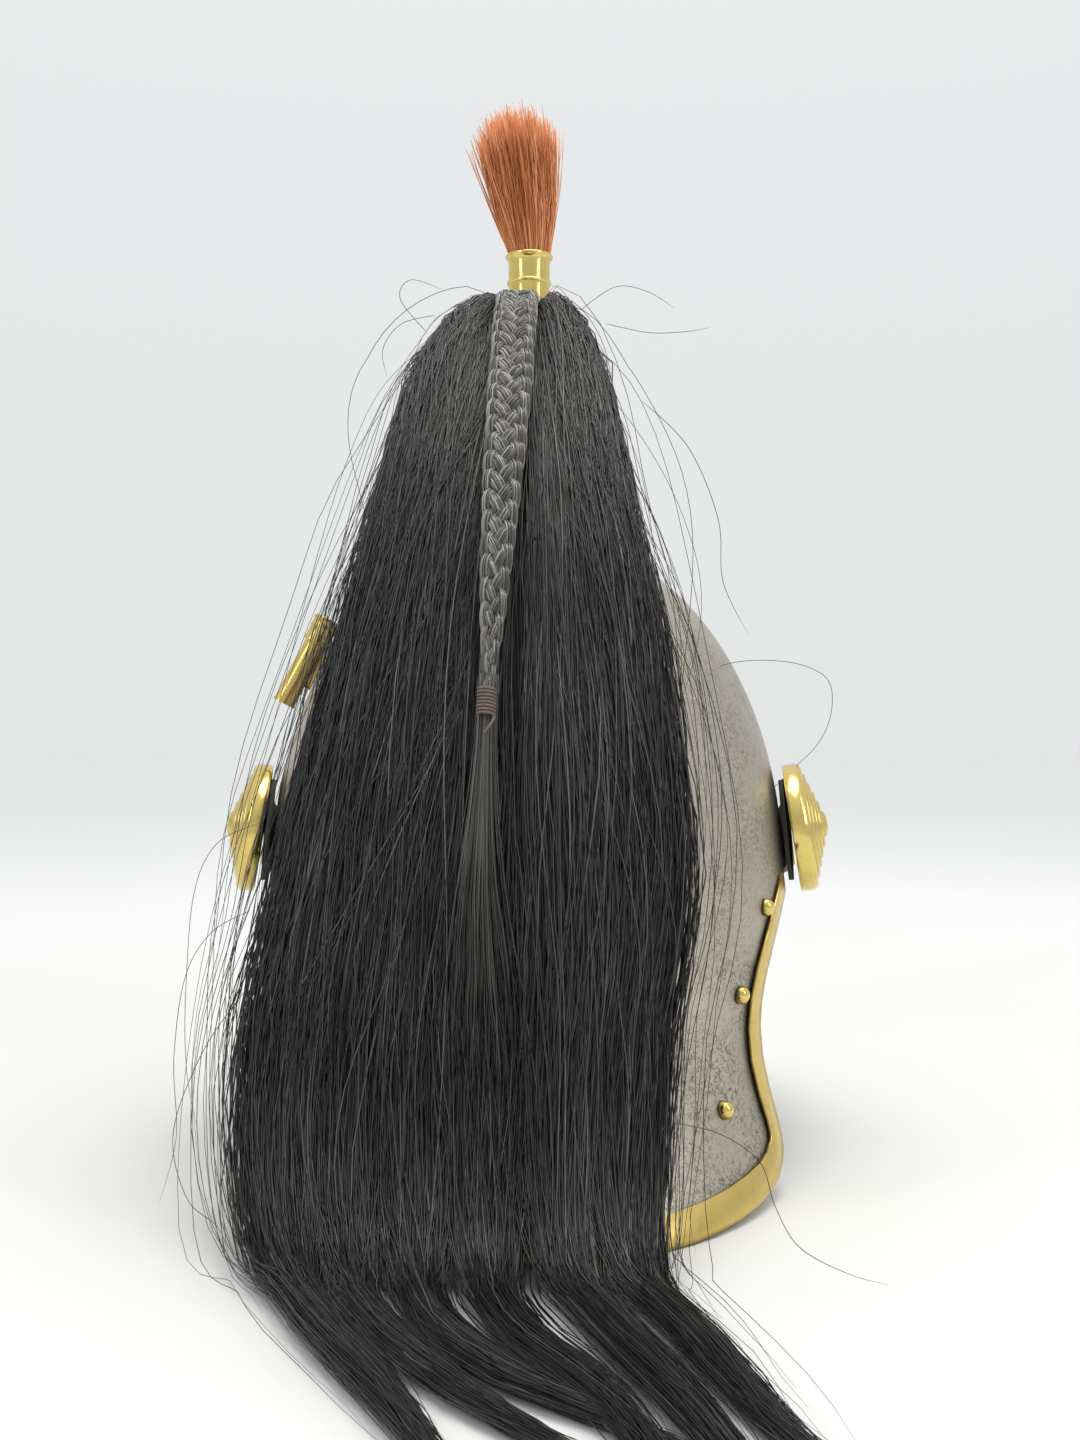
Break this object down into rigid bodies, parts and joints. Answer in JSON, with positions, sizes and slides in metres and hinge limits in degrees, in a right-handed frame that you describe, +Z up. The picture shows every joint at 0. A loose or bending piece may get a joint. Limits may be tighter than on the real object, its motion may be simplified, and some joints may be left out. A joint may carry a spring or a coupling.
{
  "type": "cuirassier helmet",
  "caption": "Heavy cavalry helmet: steel skull and peak, brass crest, edging and chin scales, black horsehair mane with a grey plait, and a red tuft",
  "frame": {"origin": "On the table under the middle of the whole helmet, mane included. The helmet stands on the rim of its neck guard and the tip of its peak, both at Z 0", "axes": "+Z up; the wearer faces -Y, so the mane runs towards +Y; +X is the wearer's left, where the plume socket is"},
  "size_m": [0.231, 0.489, 0.4374],
  "materials": {
    "steel": "matte, with fine pitting",
    "brass": "satin, a little tarnished",
    "red_horsehair": "cut horsehair, faded red",
    "black_horsehair": "long horsehair, slightly glossy",
    "grey_horsehair": "plaited horsehair, slightly glossy",
    "brown_thread": "matte thread",
    "black_leather": "worn, half matte"
  },
  "bodies": {
    "root": {"skull": "steel", "neck_edging": "brass", "peak": "steel", "peak_edging": "brass", "front_band": "brass", "grenade_badge": "brass", "crest": "brass", "tuft_sleeve": "brass", "tuft": "red_horsehair", "rosette_left": "brass", "rosette_right": "brass", "chin_leather_left": "black_leather", "chin_leather_right": "black_leather", "chin_scales_left": "brass", "chin_scales_right": "brass", "chin_clasp": "brass", "plume_socket": "brass", "rivet_left_1": "brass", "rivet_left_2": "brass", "rivet_left_3": "brass", "rivet_right_1": "brass", "rivet_right_2": "brass", "rivet_right_3": "brass", "mane": "black_horsehair", "plait": "grey_horsehair", "plait_tie": "brown_thread"}
  },
  "joints": []
}
